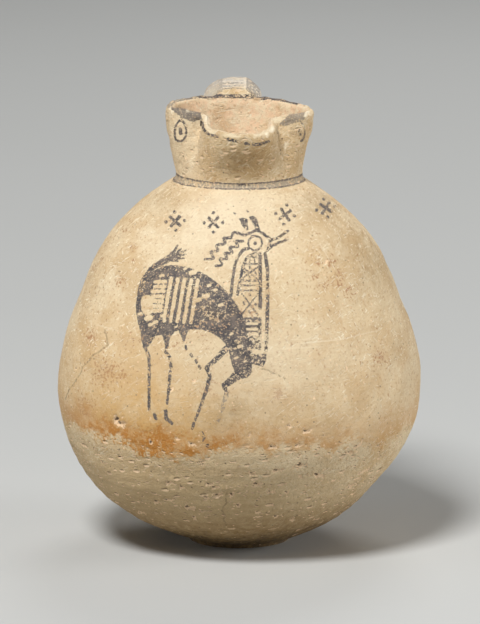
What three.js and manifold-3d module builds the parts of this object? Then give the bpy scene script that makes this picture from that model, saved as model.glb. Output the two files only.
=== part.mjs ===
// Pinched-mouth juglet of fired clay: a thrown, bag-shaped body on a low foot, a short
// neck whose rim is pinched into three lobes with a pouring lip in front, and one strap
// handle from the back of the rim to the shoulder. It is one piece of clay, hollow and open.
// Millimetres, +Z up, the pouring lip towards -Y, the origin under the middle of the foot.
import * as THREE from "three";
import { mergeVertices } from "three/addons/utils/BufferGeometryUtils.js";
import Module from "manifold-3d";

// Driving dimensions
const BODY_RADIUS = 72.4; // the belly at its widest
const BODY_HEIGHT = 147; // foot to the root of the neck
const FOOT_RADIUS = 20;
const FOOT_HEIGHT = 1.4;
const FOOT_HOLLOW = 0.8; // how far the middle of the underside is dished
const NECK_RADIUS = 25.4; // outside, at its narrowest
const RIM_RADIUS = 29.5; // outside, across the side lobes
const RIM_HEIGHT = 175.5; // foot to the rim at the side lobes
const WALL = 5; // thickness of the body's wall
const LIP = 3.6; // thickness of the rim
const FLOOR = 6.5; // height of the inside floor above the ground

// The body's outline, as shares of its height and of its largest radius
const BODY_OUTLINE = [
  [0.01, 0.29],
  [0.041, 0.453],
  [0.095, 0.642],
  [0.177, 0.809],
  [0.286, 0.941],
  [0.408, 1.0],
  [0.544, 0.972],
  [0.68, 0.878],
  [0.803, 0.769],
  [0.898, 0.612],
  [0.966, 0.452],
];

// The belly bulges a little to one side below its widest ring
const BULGE = -2.3;
const BULGE_CENTRE = 22;
const BULGE_REACH = 18;

// The pinched mouth, as it stands at the rim; angles in degrees from the pouring lip
const PINCH_ANGLE = 46;
const PINCH_WIDTH = 15;
const PINCH_DEPTH = 9;
const SPOUT_WIDTH = 22;
const SPOUT_REACH = 4; // how far the lip is drawn forward
const DIP_WIDTH = 46;
const DIP_DEPTH = 5.7; // how far the lip stands below the side lobes
const RIM_TILT = 0.035; // the rim falls by this share of the way to +X

// The strap handle: its line in the plane behind the jug, as distances back and up
const HANDLE_SIDE = -2.7; // it stands a little off the jug's middle
const HANDLE_LINE = [
  [20.5, 167.2],
  [30, 170.4],
  [40.5, 174.3],
  [50, 170],
  [56.5, 160],
  [59, 146],
  [56.3, 131.5],
  [50, 120],
  [44, 111],
];
const HANDLE_HALF_WIDTH = 11;
const HANDLE_HALF_THICK = 6.5;
const RIM_FLARE = 0.08; // how much wider the strap grows where it joins the rim
const SHOULDER_FLARE = 0.35; // and where it is smeared onto the shoulder
const ROOT_LENGTH = 0.2; // the share of the strap's length that each root takes

// How finely the round shapes are cut
const AROUND = 72;
const BODY_STEPS = 18;
const NECK_STEPS = 6;
const LIP_STEPS = 4;
const HANDLE_STEPS = 22;
const HANDLE_SIDES = 14;

const wasm = await Module();
wasm.setup();

const bell = (x) => Math.exp(-x * x);

// The outside of the wall from the foot to the top of the neck, as points [radius, height]
function outsideLine() {
  const body = BODY_OUTLINE.map(([up, out]) => new THREE.Vector2(out * BODY_RADIUS, up * BODY_HEIGHT));
  const neckRise = RIM_HEIGHT - LIP / 2 - BODY_HEIGHT;
  const neck = [
    [0, NECK_RADIUS + 0.3],
    [0.15, NECK_RADIUS],
    [0.42, NECK_RADIUS + 0.34 * (RIM_RADIUS - NECK_RADIUS)],
    [0.75, NECK_RADIUS + 0.86 * (RIM_RADIUS - NECK_RADIUS)],
    [1, RIM_RADIUS],
  ].map(([up, out]) => new THREE.Vector2(out, BODY_HEIGHT + up * neckRise));
  return [
    ...new THREE.SplineCurve([...body, neck[0]]).getSpacedPoints(BODY_STEPS),
    ...new THREE.SplineCurve(neck).getSpacedPoints(NECK_STEPS).slice(1),
  ];
}

// The inside of the wall: the outside moved in by the wall's thickness, which thins at the rim
function insideLine(outside) {
  const last = outside.length - 1;
  return outside.map((point, i) => {
    const along = outside[Math.min(i + 1, last)].clone().sub(outside[Math.max(i - 1, 0)]).normalize();
    const thin = THREE.MathUtils.smoothstep(point.y, BODY_HEIGHT, RIM_HEIGHT);
    const thick = THREE.MathUtils.lerp(WALL, LIP, thin);
    return new THREE.Vector2(point.x - thick * along.y, point.y + thick * along.x);
  });
}

// The rounded edge that joins the outside to the inside
function lipLine(outside) {
  const top = outside[outside.length - 1];
  const line = [];
  for (let i = 1; i < LIP_STEPS; i++) {
    const turn = (Math.PI * i) / LIP_STEPS;
    const half = LIP / 2;
    line.push(new THREE.Vector2(top.x - half + half * Math.cos(turn), top.y + half * Math.sin(turn)));
  }
  return line;
}

// Radius of the middle of the wall in the neck at a height
function neckMiddle(outside, height) {
  const neck = outside.slice(BODY_STEPS);
  const next = Math.max(1, neck.findIndex((p) => p.y >= height));
  const top = neck[neck.length - 1];
  if (height >= top.y) return top.x - LIP / 2;
  const [low, high] = [neck[next - 1], neck[next]];
  const share = THREE.MathUtils.clamp((height - low.y) / (high.y - low.y), 0, 1);
  const thin = THREE.MathUtils.smoothstep(height, BODY_HEIGHT, RIM_HEIGHT);
  return THREE.MathUtils.lerp(low.x, high.x, share) - THREE.MathUtils.lerp(WALL, LIP, thin) / 2;
}

// How far the rim's middle line is moved in or out at an angle, in degrees from the lip
function mouthShift(angle) {
  const pinch = bell((Math.abs(angle) - PINCH_ANGLE) / PINCH_WIDTH);
  return SPOUT_REACH * bell(angle / SPOUT_WIDTH) - PINCH_DEPTH * pinch;
}

// How far the belly is pushed aside at a height; the foot stays where it is
function bulge(height) {
  return BULGE * bell((height - BULGE_CENTRE) / BULGE_REACH) * Math.min(1, height / BULGE_CENTRE);
}

// Bends a turned shape into the real one: pinches the mouth and pushes the belly aside
function shapeByHand(geometry, outside) {
  const position = geometry.getAttribute("position");
  const step = 0.5;
  for (let i = 0; i < position.count; i++) {
    let [x, y, z] = [position.getX(i), position.getY(i), position.getZ(i)];
    const share = THREE.MathUtils.smoothstep(z, BODY_HEIGHT, RIM_HEIGHT);
    if (share > 0) {
      const angle = Math.atan2(x, -y);
      const degrees = THREE.MathUtils.radToDeg(angle);
      const middle = neckMiddle(outside, z);
      const offset = Math.hypot(x, y) - middle;
      const reach = middle + share * mouthShift(degrees);
      const change = (share * (mouthShift(degrees + step) - mouthShift(degrees - step))) / (2 * step);
      const slope = THREE.MathUtils.radToDeg(change);
      const length = Math.hypot(reach, slope);
      const out = reach + (offset * reach) / length;
      const side = (-offset * slope) / length;
      x = out * Math.sin(angle) + side * Math.cos(angle);
      y = -out * Math.cos(angle) + side * Math.sin(angle);
      z -= share * (DIP_DEPTH * bell(degrees / DIP_WIDTH) + RIM_TILT * x);
    }
    position.setXYZ(i, x + bulge(position.getZ(i)), y, z);
  }
  return geometry;
}

const turned = (line) => new THREE.LatheGeometry(line, AROUND).rotateX(Math.PI / 2);

// A closed mesh as a solid that can be joined and cut
function solidOf(geometry) {
  const bare = geometry.clone();
  bare.deleteAttribute("normal");
  bare.deleteAttribute("uv");
  const merged = mergeVertices(bare, 1e-3);
  const mesh = new wasm.Mesh({
    numProp: 3,
    vertProperties: merged.getAttribute("position").array,
    triVerts: new Uint32Array(merged.index.array),
  });
  return new wasm.Manifold(mesh);
}

function geometryOf(solid) {
  const mesh = solid.getMesh();
  const geometry = new THREE.BufferGeometry();
  geometry.setAttribute("position", new THREE.BufferAttribute(mesh.vertProperties, 3));
  geometry.setIndex(new THREE.BufferAttribute(mesh.triVerts, 1));
  geometry.computeVertexNormals();
  return geometry;
}

// The hollow vessel without its handle
function vessel(outside, inside) {
  const foot = [
    new THREE.Vector2(0, FOOT_HOLLOW),
    new THREE.Vector2(0.55 * FOOT_RADIUS, FOOT_HOLLOW),
    new THREE.Vector2(0.7 * FOOT_RADIUS, 0),
    new THREE.Vector2(FOOT_RADIUS, 0),
    new THREE.Vector2(FOOT_RADIUS + 0.6, FOOT_HEIGHT / 2),
  ];
  const floor = new THREE.Vector2(0, FLOOR);
  const line = [...foot, ...outside, ...lipLine(outside), ...inside.toReversed(), floor];
  return solidOf(shapeByHand(turned(line), outside));
}

// All the space inside the vessel, running out above the mouth
function hollow(outside, inside) {
  const above = inside[inside.length - 1].clone().setY(RIM_HEIGHT + HANDLE_HALF_WIDTH);
  const line = [new THREE.Vector2(0, FLOOR), ...inside, above, new THREE.Vector2(0, above.y)];
  return solidOf(shapeByHand(turned(line), outside));
}

// The strap, wider where it is smeared onto the wall
function handle() {
  const stops = HANDLE_LINE.map(([back, up]) => new THREE.Vector3(HANDLE_SIDE, back, up));
  const path = new THREE.CatmullRomCurve3(stops);
  const section = new THREE.Shape(
    new THREE.EllipseCurve(0, 0, HANDLE_HALF_WIDTH, HANDLE_HALF_THICK).getPoints(HANDLE_SIDES).slice(1),
  );
  const geometry = new THREE.ExtrudeGeometry(section, { steps: HANDLE_STEPS, extrudePath: path });
  const centres = path.getSpacedPoints(HANDLE_STEPS);
  const position = geometry.getAttribute("position");
  for (let i = 0; i < position.count; i++) {
    const point = new THREE.Vector3().fromBufferAttribute(position, i);
    const gaps = centres.map((centre) => centre.distanceTo(point));
    const nearest = gaps.indexOf(Math.min(...gaps));
    const share = nearest / HANDLE_STEPS;
    const flare = RIM_FLARE * bell(share / ROOT_LENGTH) + SHOULDER_FLARE * bell((1 - share) / ROOT_LENGTH);
    const grow = 1 + flare;
    position.setX(i, HANDLE_SIDE + grow * (point.x - HANDLE_SIDE));
  }
  return solidOf(geometry);
}

function juglet() {
  const outside = outsideLine();
  const inside = insideLine(outside);
  const solid = vessel(outside, inside).add(handle().subtract(hollow(outside, inside)));
  const clay = new THREE.MeshStandardMaterial({ color: 0xd2b88c, roughness: 0.85, metalness: 0 });
  const mesh = new THREE.Mesh(geometryOf(solid), clay);
  mesh.name = "juglet";
  return mesh;
}

const group = new THREE.Group();
group.add(juglet());

export default group;
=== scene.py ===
import math
from functools import partialmethod

import bmesh
import bpy
import numpy as np
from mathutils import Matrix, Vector
from mathutils.kdtree import KDTree


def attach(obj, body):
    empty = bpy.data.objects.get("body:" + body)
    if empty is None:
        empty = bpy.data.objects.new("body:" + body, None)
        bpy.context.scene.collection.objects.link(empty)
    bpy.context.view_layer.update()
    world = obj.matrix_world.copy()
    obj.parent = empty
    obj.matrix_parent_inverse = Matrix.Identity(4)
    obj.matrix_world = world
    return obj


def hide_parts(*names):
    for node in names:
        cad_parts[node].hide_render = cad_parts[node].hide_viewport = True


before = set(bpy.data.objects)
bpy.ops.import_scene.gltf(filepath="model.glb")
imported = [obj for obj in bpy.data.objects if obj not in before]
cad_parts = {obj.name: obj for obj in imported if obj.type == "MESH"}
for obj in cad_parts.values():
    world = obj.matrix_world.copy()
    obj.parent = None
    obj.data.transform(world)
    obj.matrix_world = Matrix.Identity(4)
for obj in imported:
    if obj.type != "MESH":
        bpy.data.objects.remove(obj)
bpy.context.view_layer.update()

MM = 0.001
rng = np.random.default_rng(24)
columns = np.column_stack

# Driving dimensions of the pot
BODY_RADIUS = 72.4
BODY_HEIGHT = 147
FOOT_RADIUS = 20
FOOT_HEIGHT = 1.4
FOOT_HOLLOW = 0.8
FOOT_SPREAD = 0.6
FOOT_DISH = (0.55, 0.7)  # where the dish under the foot slopes, as shares of its radius
NECK_RADIUS = 25.4
RIM_RADIUS = 29.5
RIM_HEIGHT = 175.5
WALL = 5
LIP = 3.6
FLOOR = 6.5
MOUTH_CLEARANCE = 12  # how far the cut hollow runs out above the rim

# The body's outline, as shares of its height and of its largest radius
BODY_OUTLINE = np.array([
    (0.01, 0.29), (0.041, 0.453), (0.095, 0.642), (0.177, 0.809), (0.286, 0.941), (0.408, 1),
    (0.544, 0.972), (0.68, 0.878), (0.803, 0.769), (0.898, 0.612), (0.966, 0.452),
])

# The belly bulges a little to one side below its widest ring
BULGE = -2.3
BULGE_CENTRE = 22
BULGE_REACH = 18

# The pinched mouth at the rim; angles in degrees from the pouring lip
PINCH_ANGLE = 46
PINCH_WIDTH = 15
PINCH_DEPTH = 9
SPOUT_WIDTH = 22
SPOUT_REACH = 4
DIP_WIDTH = 46
DIP_DEPTH = 5.7
RIM_TILT = 0.035

# The strap handle's line behind the pot, as distances back and up, and half of its section
HANDLE_SIDE = -2.7
HANDLE_LINE = np.array([
    (20.5, 167.2), (30, 170.4), (40.5, 174.3), (50, 170), (56.5, 160),
    (59, 146), (56.3, 131.5), (50, 120), (44, 111),
])
HANDLE_SECTION = np.array([
    (0, 6.5), (4.8, 6.1), (8.8, 3.9), (11, 0.2), (9.6, -3.6), (5.4, -5.8), (0, -6.3),
])
RIM_FLARE = 0.08
SHOULDER_FLARE = 0.35
ROOT_LENGTH = 0.2

# Spacing of the first, even mesh and of curves
AROUND = 160
ROW_GAP = 2.8
INSIDE_GAP = 5.5
LIP_STEPS = 7
STRAP_STEPS = 64
STRAP_SIDES = 30
CURVE_STEPS = 24
RING_STEPS = 24

# The eye that the painted front is laid out for: the camera's place
EYE_ELEVATION = math.radians(11)
EYE_DISTANCE = 2500
AIM = np.array([0.4, 0, 92.3])
EYE_WAY = np.array([0, -math.cos(EYE_ELEVATION), math.sin(EYE_ELEVATION)])
EYE_UP = np.array([0, math.sin(EYE_ELEVATION), math.cos(EYE_ELEVATION)])


def bell(x):
    return np.exp(-np.square(x))


def bells(x, rows):
    """A sum of bells, from rows of place, width and height."""
    return sum(height * bell((x - place) / width) for place, width, height in rows)


def smoothstep(x, low, high):
    t = np.clip((x - low) / (high - low), 0, 1)
    return t * t * (3 - 2 * t)


def distances(line):
    """How far along a polyline each of its points lies."""
    steps = np.linalg.norm(np.diff(line, axis=0), axis=1)
    return np.concatenate([[0], np.cumsum(steps)])


def unit(ways):
    return ways / np.linalg.norm(ways, axis=1)[:, None]


def left_of(line):
    """The directions square to a line, on the left of its way."""
    way = unit(np.gradient(line, axis=0))
    return columns([-way[:, 1], way[:, 0]])


def spaced(line, count):
    """count + 1 points evenly spaced along a polyline."""
    along = distances(line)
    wanted = np.linspace(0, along[-1], count + 1)
    return columns([np.interp(wanted, along, column) for column in line.T])


def smooth_curve(points, count, closed=False):
    """count + 1 even points on a smooth curve through the given ones."""
    points = np.asarray(points, float)
    if closed:
        padded = np.vstack([points[-1:], points, points[:2]])
    else:
        padded = np.vstack([points[:1], points, points[-1:]])
    t = np.linspace(0, 1, CURVE_STEPS, endpoint=False)[:, None]
    pieces = []
    for a, b, c, d in zip(padded, padded[1:], padded[2:], padded[3:]):
        into, out = (c - a) / 2, (d - b) / 2
        cubic = (2 * b - 2 * c + into + out) * t + (3 * c - 3 * b - 2 * into - out)
        pieces.append((cubic * t + into) * t + b)
    last = points[:1] if closed else points[-1:]
    return spaced(np.vstack([*pieces, last]), count)


def steps_for(line, gap):
    return max(2, round(distances(line)[-1] / gap))


# The wall's outlines, as points (radius, height)

def outside_line(gap):
    """The outside from the foot to the lip: the body's part and the neck's part."""
    rise = RIM_HEIGHT - LIP / 2 - BODY_HEIGHT
    flare = RIM_RADIUS - NECK_RADIUS
    neck = np.array([
        (NECK_RADIUS + 0.3, 0), (NECK_RADIUS, 0.15), (NECK_RADIUS + 0.34 * flare, 0.42),
        (NECK_RADIUS + 0.86 * flare, 0.75), (RIM_RADIUS, 1),
    ]) * (1, rise) + (0, BODY_HEIGHT)
    body = np.vstack([BODY_OUTLINE[:, ::-1] * (BODY_RADIUS, BODY_HEIGHT), neck[:1]])
    return smooth_curve(body, steps_for(body, gap)), smooth_curve(neck, steps_for(neck, gap))


def wall_thickness(height):
    """The wall's thickness, which thins towards the rim."""
    return WALL + (LIP - WALL) * smoothstep(height, BODY_HEIGHT, RIM_HEIGHT)


def inside_line(gap):
    """The outside moved in by the wall's thickness."""
    body, neck = outside_line(gap)
    line = np.vstack([body, neck[1:]])
    return line + wall_thickness(line[:, 1])[:, None] * left_of(line)


def lip_line(top):
    """The rounded edge from the outside to the inside."""
    turn = np.linspace(0, math.pi, LIP_STEPS + 1)[1:-1]
    half = LIP / 2
    return columns([top[0] - half + half * np.cos(turn), top[1] + half * np.sin(turn)])


def foot_line():
    """The dished underside, from its middle to the foot's edge."""
    flat, edge = np.array(FOOT_DISH) * FOOT_RADIUS
    corners = np.array([(0, FOOT_HOLLOW), (flat, FOOT_HOLLOW), (edge, 0), (FOOT_RADIUS, 0),
                        (FOOT_RADIUS + FOOT_SPREAD, FOOT_HEIGHT / 2)])
    rows = [spaced(np.array(pair), steps_for(pair, ROW_GAP))[:-1] for pair in zip(corners, corners[1:])]
    return np.vstack([*rows, corners[-1:]])


BODY_LINE, NECK_LINE = outside_line(1)
OUTER_LINE = np.vstack([BODY_LINE, NECK_LINE[1:]])
ALONG = distances(OUTER_LINE)


def outer_radius(height):
    return np.interp(height, OUTER_LINE[:, 1], OUTER_LINE[:, 0])


# The mouth's pinch and the belly's bulge

def mouth_shift(angle):
    """How far the rim's middle line moves in or out at an angle in degrees from the lip."""
    pinch = bell((np.abs(angle) - PINCH_ANGLE) / PINCH_WIDTH)
    return SPOUT_REACH * bell(angle / SPOUT_WIDTH) - PINCH_DEPTH * pinch


def bulge(height):
    """How far the belly is pushed aside at a height; the foot stays where it is."""
    standing = np.clip(height / BULGE_CENTRE, 0, 1)
    return BULGE * bell((height - BULGE_CENTRE) / BULGE_REACH) * standing


def rim_drop(angle, x):
    """How far the rim is bent down, at the pouring lip and towards +X."""
    return DIP_DEPTH * bell(angle / DIP_WIDTH) + RIM_TILT * x


def shape_by_hand(points):
    """Bends a turned shape into the real one: the mouth pinched, the belly pushed aside."""
    x, y, z = points.T
    share = smoothstep(z, BODY_HEIGHT, RIM_HEIGHT)
    angle = np.arctan2(x, -y)
    degrees = np.degrees(angle)
    middle = outer_radius(z) - wall_thickness(z) / 2
    offset = np.hypot(x, y) - middle
    reach = middle + share * mouth_shift(degrees)
    slope = np.degrees(share * (mouth_shift(degrees + 0.5) - mouth_shift(degrees - 0.5)))
    length = np.hypot(reach, slope)
    out = reach + offset * reach / length
    side = -offset * slope / length
    bent_x = out * np.sin(angle) + side * np.cos(angle)
    bent_y = -out * np.cos(angle) + side * np.sin(angle)
    bent_z = z - share * rim_drop(degrees, bent_x)
    bent = np.where((share > 0)[:, None], columns([bent_x, bent_y, bent_z]), points)
    bent[:, 0] += bulge(z)
    return bent


# Meshes as arrays of points and triangles

def stitched(rows, around, start, end):
    """A closed skin over rows of points, so many around in each, with a point at both ends."""
    column = np.arange(around)
    following = (column + 1) % around
    top = len(rows) - around
    triangles = []
    for row in range(0, top, around):
        a, b = row + column, row + following
        c, d = b + around, a + around
        triangles += [columns([a, b, c]), columns([a, c, d])]
    triangles.append(columns([np.full(around, len(rows)), following, column]))
    triangles.append(columns([np.full(around, len(rows) + 1), top + column, top + following]))
    return np.vstack([rows, start, end]), np.vstack(triangles)


def turned(line):
    """A closed turned shape, bent by hand, from a line that starts and ends on the axis."""
    turn = np.linspace(0, 2 * math.pi, AROUND, endpoint=False)
    radius, height = line[1:-1, :1], line[1:-1, 1:]
    rows = [radius * np.sin(turn), -radius * np.cos(turn), np.repeat(height, AROUND, 1)]
    rows = np.stack(rows, axis=-1).reshape(-1, 3)
    points, triangles = stitched(rows, AROUND, (0, 0, line[0, 1]), (0, 0, line[-1, 1]))
    return shape_by_hand(points), triangles


def vessel():
    body, neck = outside_line(ROW_GAP)
    inside = inside_line(INSIDE_GAP)[::-1]
    return turned(np.vstack([foot_line(), body, neck[1:], lip_line(neck[-1]), inside, (0, FLOOR)]))


def hollow():
    """All the space inside, running out above the mouth."""
    inside = inside_line(INSIDE_GAP)
    above = (inside[-1, 0], RIM_HEIGHT + MOUTH_CLEARANCE)
    return turned(np.vstack([(0, FLOOR), inside, above, (0, above[1])]))


def strap_frame():
    """The strap's middle line (back, up) with its outward directions, at even steps."""
    line = smooth_curve(HANDLE_LINE, STRAP_STEPS)
    return line, left_of(line)


def strap():
    """The strap as a skin, wider where it is smeared onto the wall."""
    mirrored = HANDLE_SECTION[1:-1][::-1] * (-1, 1)
    section = smooth_curve(np.vstack([HANDLE_SECTION, mirrored]), STRAP_SIDES, closed=True)[:-1]
    line, outward = strap_frame()
    share = np.linspace(0, 1, STRAP_STEPS + 1)
    wide = 1 + RIM_FLARE * bell(share / ROOT_LENGTH) + SHOULDER_FLARE * bell((1 - share) / ROOT_LENGTH)
    rows = [columns([HANDLE_SIDE + grow * section[:, 0], centre + section[:, 1:] * way])
            for centre, way, grow in zip(line, outward, wide)]
    return stitched(np.vstack(rows), STRAP_SIDES, (HANDLE_SIDE, *line[0]), (HANDLE_SIDE, *line[-1]))


def mesh_object(name, points, triangles):
    mesh = bpy.data.meshes.new(name)
    mesh.from_pydata(points * MM, [], triangles.tolist())
    piece = bpy.data.objects.new(name, mesh)
    bpy.context.scene.collection.objects.link(piece)
    return piece


def boolean(piece, operation, other):
    change = piece.modifiers.new(operation, "BOOLEAN")
    change.operation = operation
    change.solver = "EXACT"
    change.object = other


def joined():
    """The vessel and its strap as one closed mesh; the strap stops at the inside of the wall."""
    shapes = {"vessel": vessel(), "strap": strap(), "hollow": hollow()}
    body, handle, space = parts = [mesh_object(name, *shape) for name, shape in shapes.items()]
    boolean(handle, "DIFFERENCE", space)
    boolean(body, "UNION", handle)
    evaluated = body.evaluated_get(bpy.context.evaluated_depsgraph_get())
    shape = bmesh.new()
    shape.from_mesh(evaluated.to_mesh())
    bmesh.ops.triangulate(shape, faces=shape.faces[:])
    points = np.array([v.co for v in shape.verts]) / MM
    triangles = np.array([[v.index for v in f.verts] for f in shape.faces])
    shape.free()
    for part in parts:
        mesh = part.data
        bpy.data.objects.remove(part)
        bpy.data.meshes.remove(mesh)
    return points, triangles, np.vstack([shapes["vessel"][0], shapes["strap"][0]])


def nearest_distance(points, others):
    tree = KDTree(len(others))
    for i, other in enumerate(others):
        tree.insert(other, i)
    tree.balance()
    return np.array([tree.find(p)[2] for p in points])


def normals_of(points, triangles):
    a, b, c = (points[triangles[:, i]] for i in range(3))
    face = np.cross(b - a, c - a)
    normal = np.zeros_like(points)
    for i in range(3):
        np.add.at(normal, triangles[:, i], face)
    return normal / np.maximum(np.linalg.norm(normal, axis=1), 1e-12)[:, None]


def smoothed(points, triangles, weight, passes):
    """Points drawn towards the middle of their neighbours, each by its own weight."""
    pairs = np.vstack([triangles[:, [0, 1]], triangles[:, [1, 2]], triangles[:, [2, 0]]])
    pairs = np.vstack([pairs, pairs[:, ::-1]])
    count = np.bincount(pairs[:, 0], minlength=len(points))[:, None]
    for _ in range(passes):
        total = np.zeros_like(points)
        np.add.at(total, pairs[:, 0], points[pairs[:, 1]])
        points = points + weight[:, None] * (total / count - points)
    return points


def refined(points, triangles, length_wanted, passes):
    """Splits every edge that is longer than wanted there, keeping the surface smooth."""
    normal = normals_of(points, triangles)
    for _ in range(passes):
        edges = np.sort(triangles[:, [[0, 1], [1, 2], [2, 0]]], axis=2).reshape(-1, 2)
        keys, where = np.unique(edges[:, 0] * len(points) + edges[:, 1], return_inverse=True)
        start, end = keys // len(points), keys % len(points)
        p, q, m, n = points[start], points[end], normal[start], normal[end]
        gap = q - p
        long = np.linalg.norm(gap, axis=1) > length_wanted((p + q) / 2)
        if not long.any():
            break
        lift = ((gap * m).sum(1)[:, None] * m - (gap * n).sum(1)[:, None] * n) / 8
        number = np.where(long, len(points) + np.cumsum(long) - 1, -1)
        points = np.vstack([points, ((p + q) / 2 - lift)[long]])
        normal = np.vstack([normal, unit((m + n)[long])])
        triangles = split(triangles, number[where.reshape(-1, 3)])
    return points, triangles


def split(triangles, cut):
    """Each triangle cut at its marked edges; cut holds a new point or -1 for each edge."""
    marks = (cut >= 0).sum(1)
    done = [triangles[marks == 0]]
    for turn in range(3):
        corner = np.roll(triangles, -turn, axis=1)
        mark = np.roll(cut, -turn, axis=1)
        first, second, third = (mark >= 0).T
        one = first & ~second & ~third
        (a, b, c), m = corner[one].T, mark[one, 0]
        done += [columns([a, m, c]), columns([m, b, c])]
        two = first & second & ~third
        (a, b, c), m, n = corner[two].T, mark[two, 0], mark[two, 1]
        done += [columns([m, b, n]), columns([a, m, n]), columns([a, n, c])]
    (a, b, c), (m, n, o) = triangles[marks == 3].T, cut[marks == 3].T
    done += [columns(t) for t in ((a, m, o), (m, b, n), (o, n, c), (m, n, o))]
    return np.vstack(done)


# Where a point lies on the pot

RIM_SAG = 2  # about how far the rim is bent down all round
FRONT_START = -4  # the front lies before this
FRONT_DEPTH = -1.75  # and reaches over the lip to this depth in the wall
STAND_OFF = 0.9  # what stands further off the wall belongs to the strap


def angle_of(points):
    """Degrees round the pot from the pouring lip, positive towards +X."""
    return np.degrees(np.arctan2(points[:, 0] - bulge(points[:, 2]), -points[:, 1]))


def turned_height(points):
    """The height a point had before the rim was bent down."""
    share = smoothstep(points[:, 2] + RIM_SAG, BODY_HEIGHT, RIM_HEIGHT)
    return points[:, 2] + share * rim_drop(angle_of(points), points[:, 0])


def wall_depth(points):
    """How far a point lies outside the middle of the wall, in millimetres."""
    height = turned_height(points)
    share = smoothstep(height, BODY_HEIGHT, RIM_HEIGHT)
    middle = outer_radius(height) - wall_thickness(height) / 2
    reach = middle + share * mouth_shift(angle_of(points))
    return np.hypot(points[:, 0] - bulge(points[:, 2]), points[:, 1]) - reach


def along_of(points):
    """Distance up the outside of the wall from the foot."""
    return np.interp(turned_height(points), OUTER_LINE[:, 1], ALONG)


def as_seen(points):
    """Places on the front plane, right and up from the aim, for the eye in front of the pot."""
    away = points - AIM
    scale = EYE_DISTANCE / (EYE_DISTANCE - away @ EYE_WAY)
    return columns([away[:, 0] * scale + AIM[0], (away @ EYE_UP) * scale])


def on_front(points):
    """The outside and the lip's top, in front."""
    return (points[:, 1] < FRONT_START) & (wall_depth(points) > FRONT_DEPTH)


def off_wall(points):
    """How far a point stands off the outside of the wall, as the strap does."""
    return wall_depth(points) - wall_thickness(turned_height(points)) / 2


def on_wall(points):
    """The outside of the wall, without the strap."""
    return (wall_depth(points) > 0) & (off_wall(points) < STAND_OFF)


# Painted marks, as depth inside the paint: positive within it, negative outside

FAR = 3.0  # no mark is felt further off than this
NOWHERE = -99.0  # a place up the wall for what is not on it


class Brush:
    """Draws on a set of places: depth inside its marks, their strength and how thin a wash."""

    def __init__(self, spots):
        self.spots = spots
        self.depth = np.full(len(spots), -FAR)
        self.strength = np.zeros(len(spots))
        self.wash = np.zeros(len(spots))

    def near(self, points):
        """The places that a mark can reach."""
        low, high = points.min(0) - FAR, points.max(0) + FAR
        return np.flatnonzero(((self.spots > low) & (self.spots < high)).all(1))

    def lay(self, which, depth, strength, wash=0):
        """Lays a mark wherever it goes deeper than what is there."""
        better = depth > self.depth[which]
        place = which[better]
        self.depth[place] = depth[better]
        self.strength[place] = np.broadcast_to(strength, len(depth))[better]
        self.wash[place] = np.broadcast_to(wash, len(depth))[better]

    def stroke(self, points, width, strength=1, wash=0):
        points = np.asarray(points, float)
        which = self.near(points)
        self.lay(which, line_depth(self.spots[which], points, width), strength, wash)

    def fill(self, outline, strength=1, wash=0):
        outline = np.asarray(outline, float)
        which = self.near(outline)
        self.lay(which, area_depth(self.spots[which], outline), strength, wash)

    def dot(self, centre, radius, strength=1):
        self.stroke([centre, centre], 2 * radius, strength)

    def scrape(self, points, width):
        """Spares a line from what is painted so far."""
        points = np.asarray(points, float)
        which = self.near(points)
        spared = -line_depth(self.spots[which], points, width)
        self.depth[which] = np.minimum(self.depth[which], spared)


def line_depth(spots, points, width):
    """Depth inside a line whose width runs evenly from its first to its last point."""
    widths = np.linspace(*np.broadcast_to(width, 2), len(points))
    best = np.full(len(spots), -9.0)
    for a, b, thick, thin in zip(points, points[1:], widths, widths[1:]):
        way = b - a
        share = np.clip(((spots - a) @ way) / max(way @ way, 1e-9), 0, 1)
        gap = np.linalg.norm(spots - a - share[:, None] * way, axis=1)
        best = np.maximum(best, (thick + share * (thin - thick)) / 2 - gap)
    return best


def area_depth(spots, outline):
    """Depth inside a filled outline."""
    edge = -line_depth(spots, np.vstack([outline, outline[:1]]), 0)
    inside = np.zeros(len(spots), bool)
    for (ax, ay), (bx, by) in zip(outline, np.roll(outline, -1, axis=0)):
        if ay != by:
            crosses = (ay > spots[:, 1]) != (by > spots[:, 1])
            inside ^= crosses & (spots[:, 0] < ax + (spots[:, 1] - ay) * (bx - ax) / (by - ay))
    return np.where(inside, edge, -edge)


def ring(centre, half_wide, half_high, start=0, end=360):
    """Points on an oval, or on a part of it."""
    turn = np.radians(np.linspace(start, end, RING_STEPS + 1))
    return columns([centre[0] + half_wide * np.cos(turn), centre[1] + half_high * np.sin(turn)])


def front_brush(points):
    """The points in front, and a brush for them."""
    front = np.flatnonzero(on_front(points))
    return front, Brush(as_seen(points[front]))


STARS = [(-25.7, 36.6, 4), (-10.3, 36, 0), (18.4, 38.8, -8), (34.4, 41.2, 12)]
STAR_ARM = 2.5
STAR_DOT = 3.7
STAR_WIDTH = (1.1, 1.4)
STAR_DOT_RADIUS = 0.72
STAR_STRENGTH = 0.95


def paint_star(brush, right, up, tilt):
    """A cross of two strokes with a dot in each of its corners."""
    for quarter in range(4):
        turn = math.radians(tilt + 90 * quarter)
        dot_turn = turn + math.radians(45)
        tip = (right + STAR_ARM * math.cos(dot_turn), up + STAR_ARM * math.sin(dot_turn))
        brush.stroke([(right, up), tip], STAR_WIDTH, STAR_STRENGTH)
        dot = (right + STAR_DOT * math.cos(turn), up + STAR_DOT * math.sin(turn))
        brush.dot(dot, STAR_DOT_RADIUS, STAR_STRENGTH)


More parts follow.
